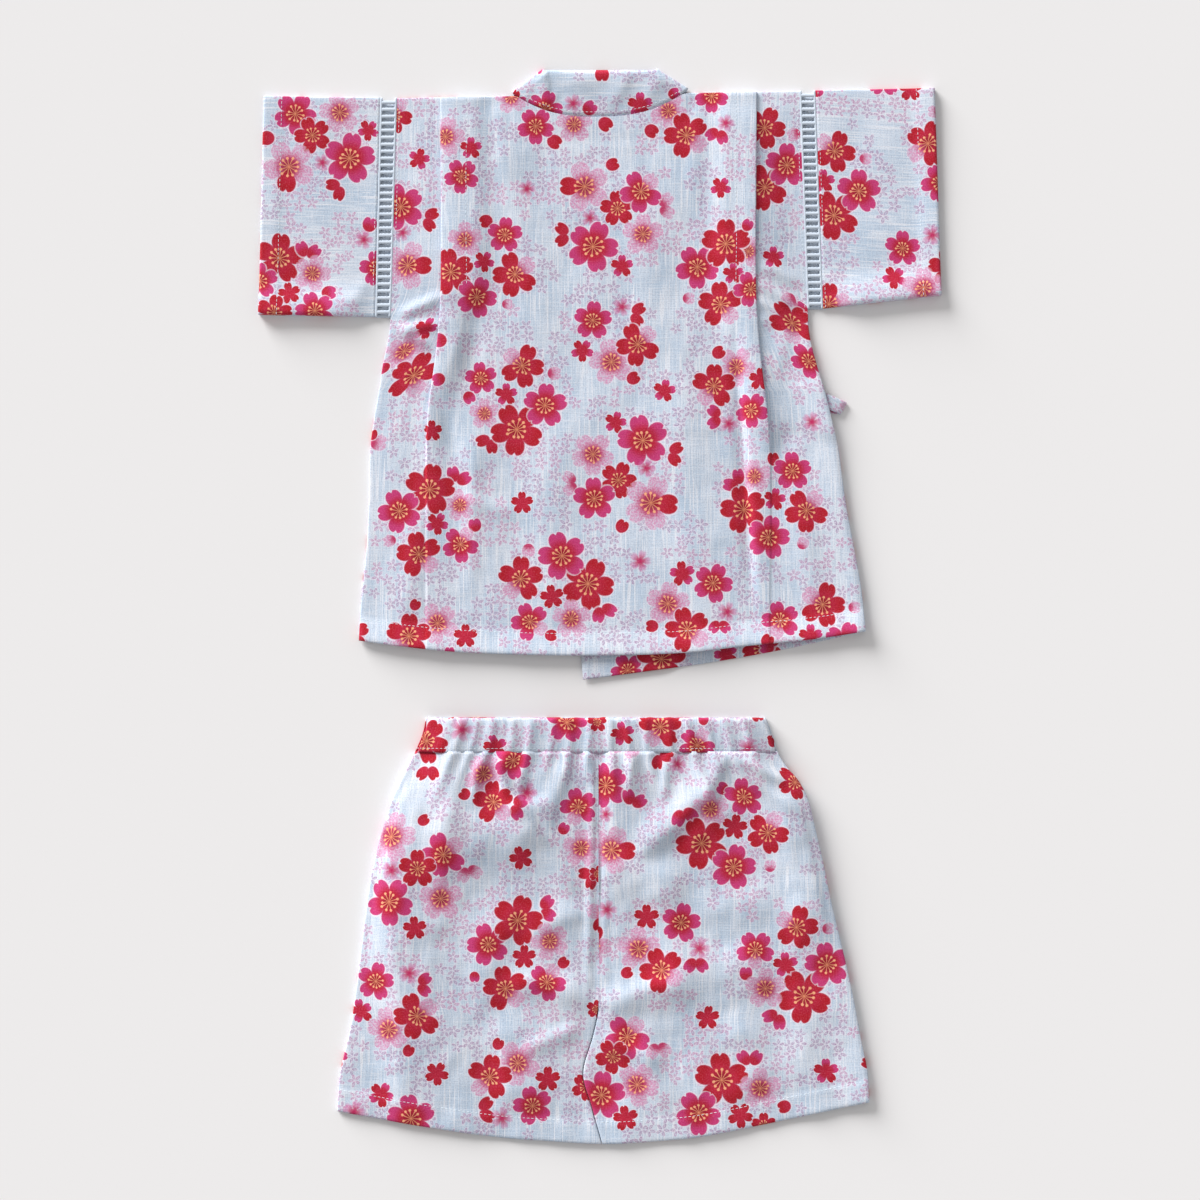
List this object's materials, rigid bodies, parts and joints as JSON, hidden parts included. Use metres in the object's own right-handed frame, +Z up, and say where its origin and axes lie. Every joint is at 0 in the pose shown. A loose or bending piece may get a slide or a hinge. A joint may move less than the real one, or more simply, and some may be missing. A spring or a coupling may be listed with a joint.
{
  "type": "jinbei set",
  "caption": "Toddler's jinbei set laid flat face down: a short-sleeved wrap top with ladder lace and side ties, above elastic-waisted shorts.",
  "frame": {"origin": "middle of the set's bounding box, on the surface it lies on", "axes": "+Y from the shorts towards the top's collar, +X towards the wearer's right sleeve, +Z up from the surface through the back of the set"},
  "size_m": [0.4771, 0.7522, 0.008],
  "materials": {
    "printed_cotton": "matt slub cotton, pale blue with a red and mauve blossom print",
    "ladder_lace": "matt cotton ladder lace, bluish white"
  },
  "bodies": {
    "root": {"back": "printed_cotton", "front_left": "printed_cotton", "front_right": "printed_cotton", "collar": "printed_cotton", "sleeve_left": "printed_cotton", "sleeve_right": "printed_cotton", "lace_left_back": "ladder_lace", "lace_left_front": "ladder_lace", "lace_right_back": "ladder_lace", "lace_right_front": "ladder_lace", "tie_left": "printed_cotton", "tie_right": "printed_cotton", "leg_left": "printed_cotton", "leg_right": "printed_cotton", "waistband": "printed_cotton"}
  },
  "joints": []
}
